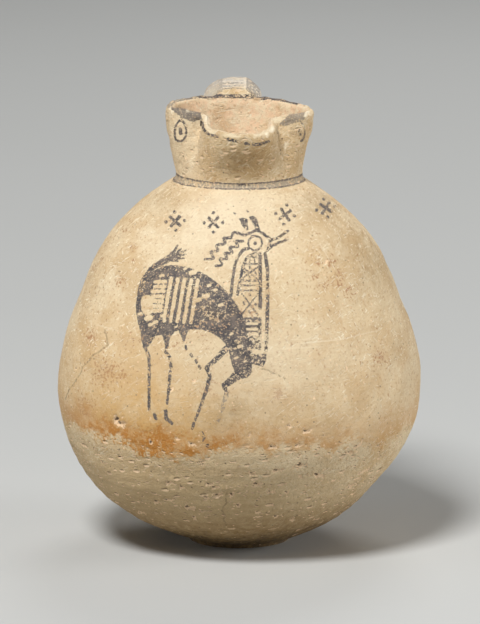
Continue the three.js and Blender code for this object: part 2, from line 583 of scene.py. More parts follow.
# Places where the beast's dark trunk has flaked off: right, up, size
CHIPS = [
    (-18.5, 15.7, 1.9), (-13.2, 6.2, 1.8), (-16.2, 4.6, 1.6), (-38.4, 12, 1), (-39.8, -0.8, 1.1),
    (-9.4, 8.6, 1), (-7.2, 2.6, 1.3), (-31, 14.6, 1.2), (-25, -6, 0.9), (-3, -9, 1.1),
    (0.4, -14, 1.2), (-1.2, -18.6, 1), (2.4, -19.8, 0.9), (-35.4, -5.2, 1.2), (-12, 10.4, 1.1),
    (-36.2, -2.6, 2), (-33.4, -4.2, 1.3), (-30.6, -1.6, 1.1), (-21.6, 17.2, 0.9),
]


def paint_body(brush):
    """The beast's dark trunk with a saddle of spared stripes and a ladder on its rump."""
    trunk = [(-38.8, 13.6), (-31, 18.2), (-25, 18.8), (-16, 16.4), (-7.2, 10.4), (-0.4, 2),
             (4, -8.2), (5.2, -18), (4.4, -25.4), (-0.2, -26.2), (-3, -20.6), (-5.4, -12.8),
             (-12.4, -7.8), (-20.8, -7.2), (-29.6, -8.6), (-38, -9.6), (-41.2, -1.6), (-41.2, 6.4)]
    brush.fill(smooth_curve(trunk, 96, closed=True)[:-1])
    for i in range(5):
        head = np.array([-27.2 + 2.7 * i, 13.5 - 0.2 * i])
        brush.scrape([head, head + (-2.8, -17)], 1.4)
    for i in range(7):
        up = 12.2 - 1.95 * i
        brush.scrape([(-34.8 + 1.2 * (i < 2), up), (-29.4 - 0.3 * i, up - 0.2 * (i % 2))], 1.45)
    brush.scrape([(-37.2, 4.6), (-36.8, 1.2)], 4.6)
    for right, up, size in CHIPS:
        brush.scrape([(right - 0.4 * size, up), (right + 0.4 * size, up + 0.3)], size)


# The beast's thighs, as filled outlines, and its legs: line, width, strength
THIGHS = [
    [(-40, -4), (-32.6, -8), (-36.4, -13.8), (-38.6, -14.8)],
    [(-31.8, -7.6), (-24.4, -6.6), (-27.4, -10), (-28.4, -14), (-29.6, -16.6), (-30, -11.6)],
    [(-24.4, -6.8), (-20, -6.8), (-21.9, -12.7)],
]
LEGS = [
    ([(-37.6, -14.4), (-36.2, -17.6), (-35.9, -23.6), (-36.1, -31.6), (-36, -38.8)], 1.35, 0.85),
    ([(-33.8, -40.8), (-33.2, -42.8)], 1.3, 1),
    ([(-29.4, -16), (-27.6, -18.2), (-27.2, -22)], 1.4, 0.9),
    ([(-27.5, -23.8), (-28.2, -31.6), (-28.7, -36.6)], (1.4, 1.1), 0.8),
    ([(-29.3, -39.6), (-29.1, -42.6), (-26.8, -44.4)], 1.5, 1),
    *(([(right, up), (right + 0.5, up - 0.9)], 1.2, 1.05)
      for right, up in ((-21.4, -13.8), (-19.2, -17), (-17.3, -19.4), (-16, -21.6))),
    ([(-5, -14.6), (-9.6, -19.4), (-13, -22)], (2.8, 1.6), 0.7),
    ([(-13, -22.2), (-11.7, -25.4), (-12.8, -30.4), (-15.4, -37.8), (-17.4, -43)], (1.9, 1.1), 0.85),
    ([(-18, -44.6), (-18.8, -46.8)], (1.4, 0.9), 1),
    ([(-0.8, -25.4), (-4.4, -28.4), (-6.2, -29.2)], (4, 1.6), 0.85),
    ([(-6.2, -29.2), (-5, -32), (-5.6, -36)], (1.8, 1.4), 0.95),
    ([(-5.8, -36.6), (-7, -39.4), (-8.4, -43)], (1.4, 0.9), 0.6),
]


def paint_legs(brush):
    for outline in THIGHS:
        brush.fill(outline)
    for line, width, strength in LEGS:
        brush.stroke(line, width, strength)


def paint_tail(brush):
    brush.stroke(smooth_curve([(-39, 12.4), (-35, 17.6), (-30.2, 20.6), (-27, 22.6)], 16), (1.4, 3))
    for tip in ((-24.6, 27), (-23, 25.8), (-21.3, 25), (-21.4, 23.2), (-22, 21.6), (-24.6, 20.4)):
        brush.stroke([(-28.2, 21.6), tip], (2, 0.6))


def paint_neck(brush):
    """The long upright neck: two double borders with bars and crosses between them."""
    outer = [(3.8, 25.6), (1.4, 24.8), (-1.1, 20.5), (-2.2, 15.3), (-2.9, 10.2), (-3, 6.6)]
    inner = [(6.9, 23.6), (3.5, 22.2), (1.8, 18.8), (0.9, 14.8), (0.1, 10.8), (-0.6, 6.8)]
    brush.stroke(smooth_curve(outer, 24), 1.35, 0.95)
    brush.stroke(smooth_curve(inner, 24), 1.35, 0.88)
    brush.stroke([(8.5, 23.4), (8.5, 1.6)], 1.5, 0.95)
    brush.stroke([(8.4, -2.6), (8.3, -15)], 1.3, 0.75)
    brush.stroke([(10.5, 23.6), (11.4, 17), (11.4, 4), (11, -8), (10.7, -15.4)], 1.5, 0.9)
    brush.fill([(3.5, 22.4), (6.6, 23.6), (7.6, 21.8), (6.8, 21.4), (4.4, 21.9)], 0.85)
    for up in (19.3, 12.4, 10.5, 8.5):
        brush.stroke([(2.6 - 0.16 * (19.3 - up), up), (8, up)], 0.85, 0.92)
    for right in (4.4, 6.2):
        brush.stroke([(right, 22.4), (right, 19.6)], 0.75, 0.9)
    for low, high in ((13, 18.2), (-1.2, 7.2)):
        middle = (low + high) / 2
        brush.stroke([(0.9, low), (7.6, high)], 0.68, 0.9)
        brush.stroke([(1.2, high), (7.4, low)], 0.7, 0.9)
        for right, up in ((4.4, high - 0.7), (4.1, low + 1.1), (2, middle + 0.4), (6.7, middle - 0.2)):
            brush.stroke([(right - 0.2, up + 0.3), (right + 0.2, up - 0.3)], 0.9)
    brush.fill([(1.4, -2.2), (7, -2), (8.6, -3), (8.4, -15), (4, -15)], 0.85)
    for up in (-4.7, -7, -9):
        brush.scrape([(2.9 - 0.15 * (up + 4.7), up), (7.2, up)], 0.9)
    brush.fill([(5, -16.8), (11, -16.8), (10.8, -19.6), (9.6, -22), (5.4, -20.8)], 0.85)


UPPER_HORN = [(4.4, 31.7), (2.1, 31.1), (-1.9, 32.1), (-3.3, 30.1), (-6.2, 29.9), (-5.6, 27.7),
              (-9, 27.1), (-8.6, 24.8), (-11.5, 24.4), (-10.2, 21.7), (-13.9, 21.4)]
LOWER_HORN = [(1.5, 28.6), (-1, 28.5), (-0.6, 26.3), (-3.6, 26.1), (-2.8, 23.8), (-5.6, 23.8),
              (-4.9, 21.5), (-7.6, 21.4), (-6.7, 19.2), (-9.4, 18.6)]


# The beast's ears, as filled outlines with their strength, and the lines of its beak
EARS = [
    ([(0, 37.5), (1.6, 37.9), (3.5, 37.2), (3.5, 35.4), (4.1, 33.1), (2.7, 32.8), (1, 35.1)], 0.95),
    ([(3.9, 38.2), (5.8, 38.8), (7, 37.4), (8.1, 34.5), (8.4, 33.1), (7, 32.8), (5.5, 35.4)], 1),
    ([(-2.7, 40.4), (-0.9, 39.4), (-1.4, 38.5)], 1),
    ([(2.4, 41.5), (4.1, 40.1), (3.3, 39.7)], 1),
]
BEAK = [
    [(4.4, 31.7), (7.3, 33), (10.1, 31.1), (12.9, 29), (15.3, 29.5), (17.3, 30.9), (19.5, 32.4)],
    [(11.3, 24.8), (13, 26.2), (15.8, 27.7), (19.3, 29)],
]
EYE = (6.5, 27.7)


def paint_head(brush):
    """The beast's head: a ringed eye, two ears, two stepped horns and an open beak."""
    brush.stroke(ring(EYE, 2.75, 2.8), 0.85)
    brush.dot(EYE, 0.75)
    for outline, strength in EARS:
        brush.fill(outline, strength)
    for line in BEAK:
        brush.stroke(line, 1.2)
    brush.stroke([(12.6, 28.6), (11.7, 25.5)], 1.2, 0.9)
    for horn in (UPPER_HORN, LOWER_HORN):
        brush.stroke(smooth_curve(horn, 60), (1.3, 1.05), 0.9)


def paint_mouth(brush):
    """The grey brows and ringed eyes on the neck, and the broken line under the lip."""
    left_brow = [(-27, 84.2), (-20.6, 83.2), (-15.1, 79.2), (-14.8, 76.8), (-18.6, 75.4),
                 (-23.6, 76.8), (-26.8, 79)]
    right_brow = [(15.9, 74.8), (20.4, 78.8), (24.4, 81), (26.4, 79.4), (26.6, 76.3),
                  (23.4, 75.2), (18.4, 74)]
    brush.fill(left_brow, 1.2, wash=0.35)
    brush.fill(right_brow, 1.05, wash=0.75)
    brush.stroke([(-27.2, 82), (-26, 79.4), (-24.2, 78.6)], 1.1, 0.85)
    brush.stroke(ring((-23.4, 72), 2.4, 3.6), 0.95, 0.85)
    brush.stroke([(-23.5, 72.7), (-23.2, 71.4)], 1.5, 0.9)
    brush.stroke(ring((24, 71.6), 2.3, 3.8, -65, 70), 0.9, 0.75)
    brush.stroke([(24.2, 72.4), (24.5, 71)], 1.3, 0.9)
    lip = [(-14.8, 75.6), (-14.1, 72.8), (-11.1, 70.9), (-5.6, 69.4), (0.9, 67.7), (6.4, 67),
           (9.9, 67.5), (13.4, 69)]
    lip = smooth_curve(lip, 40)
    for start, end in ((0, 13), (17, 24), (26, 29), (30, 39)):
        brush.stroke(lip[start:end], (1.4, 1), 0.9)


def paint_smears(brush):
    """Where paint ran at the forefoot."""
    brush.stroke([(-14.8, -48.4), (-13.8, -50.4), (-14.4, -51.6)], (1.6, 0.8), 0.6)
    brush.stroke([(-5.2, -34), (-6.6, -38.5), (-8.6, -44)], (2.4, 1.6), 0.6, 1)
    brush.dot((-12.5, -53.5), 0.9, 0.7)


FRONT_MARKS = (paint_body, paint_legs, paint_tail, paint_neck, paint_head, paint_mouth, paint_smears)

# Bands round the pot: place up the wall from the root of the neck, width, strength, wash
NECK_BANDS = [(1.9, 1.15, 0.98, 0), (0.5, 2, 0.74, 1.1), (-0.9, 1.05, 0.92, 0)]

# The band on the rim: its width, its ends and where it thins to a wash, in degrees to the left
RIM_BAND = 0.9
RIM_BAND_TOP = 0.4  # how far it runs up over the lip
RIM_BAND_DEPTH = 1.4  # and how far across it
RIM_BAND_ENDS = (85, 242)
RIM_BAND_THINS = (150, 115)

# Long bands on the strap: place across it, width, strength, wash; short bars cross it between them
# the wide washes at both sides of the strap are partly its painted bands and partly painted shade on its
# sides
STRAP_BANDS = [(-8.4, 5.6, 1, 1.45), (-4.7, 1.5, 0.9, 1), (8.2, 5.4, 1, 0.8)]
STRAP_PAINT_END = 76
BAR_GAP = 1.75
BAR_HALF = 4.2
BAR_WIDTH = 0.9
STRAP_BACK = -1  # the paint reaches this far round the strap's edges


def strap_places(points):
    """Distance along the strap's middle line and outward from it."""
    line, outward = strap_frame()
    gaps = points[:, None, 1:] - line[None]
    nearest = np.square(gaps).sum(2).argmin(1)
    gap = gaps[np.arange(len(points)), nearest]
    way = columns([outward[:, 1], -outward[:, 0]])
    return distances(line)[nearest] + (gap * way[nearest]).sum(1), (gap * outward[nearest]).sum(1)


def paint_strap(points):
    """The strap's bands and bars, drawn on places across it and along it; the side bands are partly
    painted shade.
    """
    along, out = strap_places(points)
    brush = Brush(columns([points[:, 0] - HANDLE_SIDE, along]))
    for place, width, strength, wash in STRAP_BANDS:
        brush.stroke([(place, 0), (place, STRAP_PAINT_END)], width, strength, wash)
    for up in np.arange(0, STRAP_PAINT_END, BAR_GAP):
        brush.stroke([(-BAR_HALF, up), (BAR_HALF, up)], BAR_WIDTH, 0.85, 0.8)
    brush.depth[out < STRAP_BACK] = -FAR
    return brush


def paint(points):
    """All the paint on a set of points, as the brush that has drawn it."""
    whole = Brush(points)
    every = np.arange(len(points))
    wall = on_wall(points)
    up_wall = np.where(wall, along_of(points) - ALONG[len(BODY_LINE) - 1], NOWHERE)
    for place, width, strength, wash in NECK_BANDS:
        whole.lay(every, width / 2 - np.abs(up_wall - place), strength, wash)
    leftward = -angle_of(points) % 360
    height = turned_height(points) - RIM_HEIGHT
    ends = np.minimum(leftward - RIM_BAND_ENDS[0], RIM_BAND_ENDS[1] - leftward) / 2
    rim = np.minimum(np.minimum(height + RIM_BAND, ends), RIM_BAND_TOP - height)
    rim = np.where(wall | (np.abs(wall_depth(points)) < RIM_BAND_DEPTH), rim, -FAR)
    whole.lay(every, rim, 0.95, 0.9 * smoothstep(leftward, *RIM_BAND_THINS))
    strap_points = np.flatnonzero(off_wall(points) > STAND_OFF)
    front, brush = front_brush(points)
    for star in STARS:
        paint_star(brush, *star)
    for mark in FRONT_MARKS:
        mark(brush)
    for which, drawn in ((strap_points, paint_strap(points[strap_points])), (front, brush)):
        whole.lay(which, drawn.depth, drawn.strength, drawn.wash)
    whole.depth = np.clip(whole.depth, -FAR, FAR)
    return whole


# Relief: wheel marks, hand dents, pits, chips and cracks

OUTSIDE_EDGE = 2.1
INSIDE_EDGE = 6
RIM_EDGE = 1.5
RIM_ZONE = 6
FINE_EDGE = 0.74
EDGE_GROWTH = 0.7  # how fast edges may grow away from a detail
SEAM_REACH = 4.5  # how far the joint of wall and strap is smoothed
SEAM_PULL = 0.6
SEAM_PASSES = 14
NEW_POINT = 0.02  # a point further than this from the first meshes lies on the joint
PIT_COUNT = 190
LOW_SHARE = 0.65  # the share of the pits that lie low on the body
WHEEL_GAP = 5.6
WHEEL_RISE = (0.03, 0.07)  # height of the wheel marks, and what they gain low on the body
WHEEL_ZONE = (90, 50)  # they gain it between these distances up the wall
NECK_ZONE = (146, 156)  # the dabs of slip on the neck set in between these heights

# Random fields: wavelength, height, number of waves, seed
HAND_MARKS = [(48, 0.28, 9, 4), (17, 0.1, 9, 5), (4.2, 0.035, 9, 6)]
NECK_DABS = [(8, 0.12, 24, 12), (4.6, 0.08, 24, 13)]
LIP_NIBBLES = [(8, 0.35, 24, 7), (3.4, 0.35, 24, 8)]

# Wear of the rim: its zone below the rim, the wear all round, and more at the pouring lip
WORN_ZONE = (2.6, 0.4)
WORN_ALL = 0.2
WORN_LIP = (0, 45, 0.75)  # angle, width, height
NIBBLE = 0.3  # how far it is nibbled on the whole
NIBBLE_RANGE = (-0.1, 1.2)

# Where the rim stands up at the side lobes: angle, width, height; and its zone below the rim
LOBES = [(-62, 13, 1.3), (62, 13, 0.7)]
LOBE_ZONE = (9, 2)

# Torn pits seen in front: right, up, half length, half height, on the front plane
FRONT_PITS = [
    (7.4, -69.2, 1.6, 0.8), (24.4, -61.3, 2.2, 0.8), (5.4, -64.9, 1.4, 0.8), (15.1, -63.4, 2.4, 0.6),
    (13.1, -72.2, 1.7, 0.6), (19.1, -72.2, 1.1, 0.6), (-27.9, -68.5, 1.4, 0.7), (-22.6, -70.2, 1.3, 0.7),
    (-11.8, -69, 1.5, 0.6), (-9.6, -70.2, 1.4, 0.6), (-12.6, -74.2, 1.3, 0.6), (-8.3, -73.2, 1.5, 0.8),
    (-2.6, -72.9, 1.2, 0.7), (-19.6, -78.2, 2.8, 0.7), (-0.3, -77.5, 1, 0.6), (7.7, -80.2, 1.3, 0.5),
    (-17.9, -81.9, 1, 0.5), (21.4, -83.5, 0.8, 0.9), (15.1, -82.2, 1.2, 0.6), (-32.9, -76.2, 1.3, 0.7),
    (-25.6, -64.5, 0.5, 0.5), (23.1, -53.5, 0.7, 0.6), (24.1, -57.3, 0.6, 0.5), (24.4, -65.5, 0.8, 0.6),
    (31.7, -65.2, 2.6, 0.8), (-35.6, -52.5, 0.9, 0.7), (-18.9, -52.9, 1.3, 0.7), (27.1, -47.9, 1.4, 0.7),
    (13.7, -54.2, 1.6, 0.6), (-49.2, -43.2, 1.2, 1.3), (-47.8, -44.9, 1.5, 1.1), (34.8, 20, 0.7, 0.6),
    (20, -45.8, 0.8, 0.6), (-15, -60.2, 3, 0.3), (-14.4, -61.2, 2.4, 0.3), (-28.6, -75.2, 2.6, 0.35),
]


def ripple(points, wavelength, waves=9, seed=0):
    """A smooth random field of about unit size, the same at every run."""
    draw = np.random.default_rng(seed)
    ways = unit(draw.normal(size=(waves, 3)))
    lengths = wavelength * draw.uniform(0.7, 1.4, waves)
    phase = draw.uniform(0, 2 * math.pi, waves)
    turns = points @ (2 * math.pi * ways / lengths[:, None]).T
    return np.cos(turns + phase).sum(1) * math.sqrt(2 / waves)


def ripples(points, rows):
    """A sum of random fields, from rows of wavelength, height, number of waves and seed."""
    return sum(height * ripple(points, length, waves, seed) for length, height, waves, seed in rows)


def scatter_pits():
    """Pits dragged sideways by the wheel: angle, distance up, half length, half height."""
    low = rng.random(PIT_COUNT) < LOW_SHARE

    def drawn(low_range, high_range):
        return np.where(low, rng.uniform(*low_range, PIT_COUNT), rng.uniform(*high_range, PIT_COUNT))

    up = drawn((6, 72), (72, 200))
    angle = drawn((38, 322), (0, 360))
    half_high = drawn((0.45, 0.9), (0.3, 0.55))
    stretch = drawn((1.2, 3.4), (1, 1.5))
    return columns([angle, up, half_high * stretch, half_high])


PITS = scatter_pits()


def pit_depth(points):
    """How deep the pits go, how near the nearest pit's edge is, and how dark the painted shadow in its
    upper left is.
    """
    up = np.where(on_wall(points), along_of(points), NOWHERE)
    angle = angle_of(points)
    radius = np.hypot(points[:, 0], points[:, 1])
    order = np.argsort(up)
    ranked = up[order]
    deep, dark = np.zeros(len(points)), np.zeros(len(points))
    near = np.full(len(points), FAR)
    for place, height, half_long, half_high in PITS:
        first, last = np.searchsorted(ranked, (height - half_high - FAR, height + half_high + FAR))
        which = order[first:last]
        round_way = np.radians((angle[which] - place + 180) % 360 - 180) * radius[which]
        sink(deep, near, dark, which, round_way, up[which] - height, half_long, half_high)
    front, brush = front_brush(points)
    for right, height, half_long, half_high in FRONT_PITS:
        close = np.abs(brush.spots[:, 1] - height) < half_high + FAR
        away = brush.spots[close] - (right, height)
        sink(deep, near, dark, front[close], *away.T, half_long, half_high)
    return deep, near, dark


def sink(deep, near, dark, which, sideways, upward, half_long, half_high):
    """One pit, deepest above its middle, with an edge that wanders."""
    tilt = 0.5 * math.sin(37 * half_long + 11 * half_high)
    upward = upward - tilt * sideways * min(1, 0.8 / half_long)
    wander = 1 + 0.3 * np.sin(2.3 * sideways + 5 * half_long)
    wander += 0.25 * np.sin(4.3 * sideways + 5 * upward)
    share = np.hypot(sideways / half_long, upward / half_high) * wander
    shape = np.clip(1 - share ** 2, 0, 1) * (1 + 0.35 * np.clip(upward / half_high, -1, 1))
    deep[which] = np.maximum(deep[which], 0.95 * half_high * shape)
    near[which] = np.minimum(near[which], np.abs(share - 1) * half_high)
    # a painted shadow in the pit's upper left, the side turned from the light
    pit_shadow = np.hypot(sideways / half_long + 0.3, upward / half_high - 0.35) * wander
    dark[which] = np.maximum(dark[which], np.clip(1.7 - 2.6 * pit_shadow, 0, 1))


# Fine lines on the front plane, with their widths: dark cracks, and pale scratches and wheel lines
CRACKS = [
    ([(-53.6, -7.2), (-52.7, -10.4), (-52.2, -13.4), (-54, -14.4), (-56, -16.6), (-57.6, -17),
      (-59.4, -19.6), (-61.8, -21.8), (-62.8, -24.4), (-65.6, -28.4), (-68, -31.2), (-69.6, -34.8)], 0.3),
    ([(9.2, -22.8), (11.6, -23.2), (13.6, -24.6), (15.2, -24.8), (18.4, -26.8)], 0.36),
    ([(-4.9, -71.9), (-5.3, -74.2), (-4.8, -76), (-6.4, -78), (-6.8, -79.2), (-5.6, -81),
      (-6.2, -82.4), (-4.9, -85.5)], 0.3),
]
SCRATCHES = [
    ([(23.1, -12.9), (39.7, -11.2), (56.4, -7.2)], 0.5), ([(16.4, -14.9), (32.4, -13.9)], 0.45),
    ([(20.4, -11.2), (33.1, -10.7)], 0.4), ([(-44, -29.2), (-38.4, -26.2)], 0.5),
    ([(-56.2, -5.2), (-46.4, -8.2)], 0.4), ([(42, 30.6), (45.6, 33.2)], 0.5),
    ([(32.4, 27.4), (36.2, 20.8)], 0.4), ([(14.2, 12.6), (15.4, 16.4), (14, 19)], 0.5),
]


def lines_depth(points, lines):
    """Depth inside fine lines drawn on the front plane."""
    front, brush = front_brush(points)
    for line, width in lines:
        brush.stroke(line, (width, 0.6 * width))
    depth = np.full(len(points), -FAR)
    depth[front] = brush.depth
    return depth


def plain_edge(points):
    """The longest edge where there is no detail."""
    return np.where(wall_depth(points) > 0, OUTSIDE_EDGE, INSIDE_EDGE)


def edge_wanted(points):
    """The longest edge that the detail at a place allows."""
    wanted = np.where(turned_height(points) > RIM_HEIGHT - RIM_ZONE, RIM_EDGE, plain_edge(points))
    near = np.minimum(np.abs(paint(points).depth), pit_depth(points)[1])
    near = np.minimum(near, 0.3 - lines_depth(points, CRACKS + SCRATCHES))
    return np.where(near < FAR, np.minimum(wanted, FINE_EDGE + EDGE_GROWTH * near), wanted)


def lift(points):
    """How far the outside stands proud of the true form, in millimetres."""
    up = along_of(points)
    height = WHEEL_RISE[0] + WHEEL_RISE[1] * smoothstep(up, *WHEEL_ZONE)
    wave = (up + 1.2 * ripple(points, 60, seed=2)) / WHEEL_GAP
    wheel = np.sin(2 * math.pi * wave) * height * (0.6 + 0.4 * ripple(points, 45, seed=3))
    dabs = ripples(points, NECK_DABS) * smoothstep(points[:, 2], *NECK_ZONE)
    return wheel + ripples(points, HAND_MARKS) + dabs


def near_rim(points, zone):
    """None at the zone's first distance under the rim, and all at its second."""
    return smoothstep(RIM_HEIGHT - turned_height(points), *zone)


def worn_lip(points):
    """How far the pouring lip and the rim are worn down."""
    wear = WORN_ALL + bells(angle_of(points), [WORN_LIP])
    nibble = np.clip(NIBBLE + ripples(points, LIP_NIBBLES), *NIBBLE_RANGE)
    return near_rim(points, WORN_ZONE) * wear * nibble


def lobe_rise(points):
    """How far the rim stands up where the side lobes turn in to the lip."""
    return near_rim(points, LOBE_ZONE) * bells(angle_of(points), LOBES)


def build_pot():
    """The whole form without its relief, finer where the relief and the paint need it."""
    points, triangles, known = joined()
    seam = points[nearest_distance(points, known) > NEW_POINT]
    points, triangles = refined(points, triangles, plain_edge, 2)
    weight = np.clip(1 - nearest_distance(points, seam) / SEAM_REACH, 0, 1)
    points = smoothed(points, triangles, SEAM_PULL * weight, SEAM_PASSES)
    return refined(points, triangles, edge_wanted, 4)


# The marks of age: the tide line, stains, mottled patches, cracks and bare clay; and painted shade and
# highlight

TIDE_HEIGHT = 50
TIDE_WANDER = 0.8
NO_TIDE = 60  # a height above the tide line for the inside

# Round the pot: angle, width, strength
TIDE_RISES = [(-80, 32, 3.2), (20, 26, 2.6)]
RUST_LEAST = 0.36
RUST_PLACES = [(-31, 27, 0.74), (16, 14, 0.1), (62, 24, -0.1)]
DUST_LEAST = 0.25
DUST_PLACES = [(-22, 38, 0.5)]

# Red mottled patches on the front plane: right, up, size
MOTTLES = [
    (-52.6, -24.2, 5.5), (-47, -25.6, 3), (-58.6, -10.7, 3), (31.4, 19.8, 1.8), (37.4, 19.6, 2),
    (40.4, 15, 2), (39.4, 11.4, 2.2), (34, 10.2, 2), (43.9, 8.8, 2.6), (30.4, 14.6, 1.6),
    (-48.1, 12.8, 2), (-55.1, 20.8, 1.1), (-42.6, 20.3, 1.1), (-58.6, 17.8, 1.6), (-54.6, 27.8, 1.8),
    (-42.6, 25.8, 1.6), (-13, -31, 3), (16, -33, 3), (-62, -38, 5), (56, -18, 3),
]


def roughness(points):
    """The neck and the foot are left rough; the belly is smoothed."""
    neck = smoothstep(points[:, 2], 140, 156)
    low = smoothstep(points[:, 2], 58, 44)
    outer = (wall_depth(points) > -1) & (off_wall(points) < 2)
    return 0.3 + 0.7 * np.maximum(neck, low) * np.where(outer, 1, 0.3)


# Bare chips on the neck and the rim, on the front plane: right, up, size
FLAKES = [(18.7, 66.8, 1.2), (18.4, 65.4, 0.9), (-28, 82, 1.6), (-27.6, 79.6, 1), (27.4, 80, 1.6),
          (26.6, 77.8, 1), (13.2, 72.6, 1.4), (11.2, 71, 1), (-13.2, 77, 1.2), (-20.6, 79.8, 0.8)]


def flaked(points):
    """Where the slip has chipped off the neck and the rim."""
    front, brush = front_brush(points)
    for right, up, size in FLAKES:
        brush.stroke([(right, up), (right + 0.3 * size, up + 0.8 * size)], size)
    share = np.zeros(len(points))
    share[front] = smoothstep(brush.depth, -0.45, 0.25)
    return share


def tide(points):
    """Millimetres above the tide line, far above it for the inside."""
    line = TIDE_HEIGHT + bells(angle_of(points), TIDE_RISES) + TIDE_WANDER * ripple(points, 22, seed=11)
    return np.where(wall_depth(points) > 0, points[:, 2] - line, NO_TIDE)


def stain_power(points):
    """The rust above the tide line is strongest left of the front, and weakest far right."""
    return RUST_LEAST + bells(angle_of(points), RUST_PLACES)


def torn_power(points):
    """The torn chips lie thickest on the lower body, and thin out at the foot and on the neck."""
    height = points[:, 2]
    return smoothstep(height, 4, 22) * (1 - 0.3 * smoothstep(height, 90, 150))


def dust_power(points):
    """The dust below the tide line is plain in front and thins out at the sides."""
    return DUST_LEAST + bells(angle_of(points), DUST_PLACES)


# Painted shade, partly brown dirt, on the front plane: right, up, half width, half height, strength
PAINTED_SHADE_AND_DIRT = [
    (3, 60, 13, 10, 0.36), (2, 62.5, 11, 6, 0.55), (21, 64, 6, 8, 0.2),
    (32, 43, 10, 8, 0.5), (45, 28, 9, 12, 0.32), (-4, -40, 10, 7, 0.42),
    (26, -40, 18, 7, 0.14), (33, -50, 10, 6, 0.12), (-31, 45, 9, 6, 0.28),
    (55, 20, 8, 13, 0.3),
]


def painted_shade_and_dirt(points):
    """Painted shade, partly brown dirt: under the pouring lip, by the neck's root, at the right edge and
    in patches in front; and painted shade darkening round the foot.
    """
    spots = as_seen(points)
    power = np.zeros(len(points))
    for right, up, wide, high, strength in PAINTED_SHADE_AND_DIRT:
        power += strength * bell((spots[:, 0] - right) / wide) * bell((spots[:, 1] - up) / high)
    # painted shade round the foot, darker towards the floor
    foot = 1.2 * smoothstep(points[:, 2], 34, 2) * (wall_depth(points) > 0)
    return np.maximum(power * on_front(points), foot)


def painted_highlight(points):
    """Painted highlight on the shoulder and the belly, in front, and on the left side of the neck."""
    angle = angle_of(points)
    neck = smoothstep(points[:, 2], BODY_HEIGHT, BODY_HEIGHT + 4)
    shoulder = smoothstep(points[:, 2], 112, 138) * (1 - neck)
    pale = 0.4 * shoulder * bell((angle + 6) / 36) + 0.4 * neck * bell((angle + 55) / 25)
    pale += 0.3 * bell((points[:, 2] - 78) / 26) * bell((angle - 6) / 26)
    return pale * (wall_depth(points) > 0)


def mottle(points):
    """The red patches in front."""
    spots = as_seen(points)
    red = np.zeros(len(points))
    for right, up, size in MOTTLES:
        gap = np.hypot(spots[:, 0] - right, spots[:, 1] - up)
        red = np.maximum(red, bell(gap / size))
    return np.where(on_front(points), red, 0)


# The pot's skin laid out flat on a unit square, with the most room for the front

# Where each part starts on the square, and how much of it it takes
OUTSIDE_ROOM = (0.01, 0.69)
INSIDE_ROOM = (0.72, 0.12)
STRAP_ROOM = ((0.18, 0.8), (0.925, 0.06))
FOOT_MIDDLE = (0.08, 0.925)
FOOT_ROOM = 0.06
STRAP_LENGTH = 88
SQUARE_EDGE = 0.002
HALF_ROOM = 0.49
FRONT_GAIN = 0.15


def spread(angle):
    """The share of the square's width at an angle in degrees; the front is spread wider."""
    turn = angle / 180
    return 0.5 + HALF_ROOM * ((1 + FRONT_GAIN) * turn - FRONT_GAIN * turn ** 3)


def flat_outside(points, angle):
    """The outside and the lip, from the foot up."""
    above = np.maximum(turned_height(points) - RIM_HEIGHT + LIP / 2, 0)
    up = along_of(points) + LIP / 2 * np.arctan2(above, wall_depth(points))
    start, room = OUTSIDE_ROOM
    return columns([spread(angle), start + room * up / (ALONG[-1] + 2 * LIP)])


def flat_inside(points, angle):
    """The inside, from the middle of the floor up; the neck takes most of it."""
    height = turned_height(points)
    radius = np.hypot(points[:, 0], points[:, 1])
    up = np.where(height < BODY_HEIGHT / 2, radius + height, BODY_RADIUS + height)
    share = np.interp(up, BODY_RADIUS + np.array([-65, 70, 140, 180]), (0, 0.2, 0.4, 1))
    start, room = INSIDE_ROOM
    return columns([spread(angle), start + room * share])


def flat_strap(points, turn):
    """The strap, from the rim to the shoulder."""
    (left, wide), (low, high) = STRAP_ROOM
    return columns([left + wide * strap_places(points)[0] / STRAP_LENGTH, low + high * turn / 180])


def flat_underside(points, _):
    return FOOT_MIDDLE + FOOT_ROOM * points[:, :2] / FOOT_RADIUS


def strap_turn(points):
    """Degrees round the strap from the middle of its outer face."""
    return np.degrees(np.arctan2(points[:, 0] - HANDLE_SIDE, strap_places(points)[1]))


def flat_places(points, triangles):
    """A place on the square for each corner of each triangle."""
    middle = points[triangles].mean(1)
    over = turned_height(middle) > RIM_HEIGHT - LIP / 2
    under = (middle[:, 2] < FOOT_HEIGHT) & (np.hypot(middle[:, 0], middle[:, 1]) < FOOT_RADIUS)
    on_strap = ~under & (off_wall(middle) > STAND_OFF)
    outside = ~under & ~on_strap & (over | (wall_depth(middle) > 0))
    inside = ~under & ~on_strap & ~outside
    flat = np.zeros((len(triangles), 3, 2))
    for part, layout, turn_of in (
        (outside, flat_outside, angle_of), (inside, flat_inside, angle_of),
        (under, flat_underside, angle_of), (on_strap, flat_strap, strap_turn),
    ):
        corners = points[triangles[part]].reshape(-1, 3)
        about = turn_of(np.repeat(middle[part], 3, axis=0))
        turn = about + (turn_of(corners) - about + 180) % 360 - 180
        flat[part] = layout(corners, turn).reshape(-1, 3, 2)
    return np.clip(flat, SQUARE_EDGE, 1 - SQUARE_EDGE)


CRACK_DEPTH = 0.12
BARE_WEAR = 0.35  # the clay is bare where the lip is worn down this far
STRAP_CLEAR = 3.2  # the strap's own colour is full this far off the wall


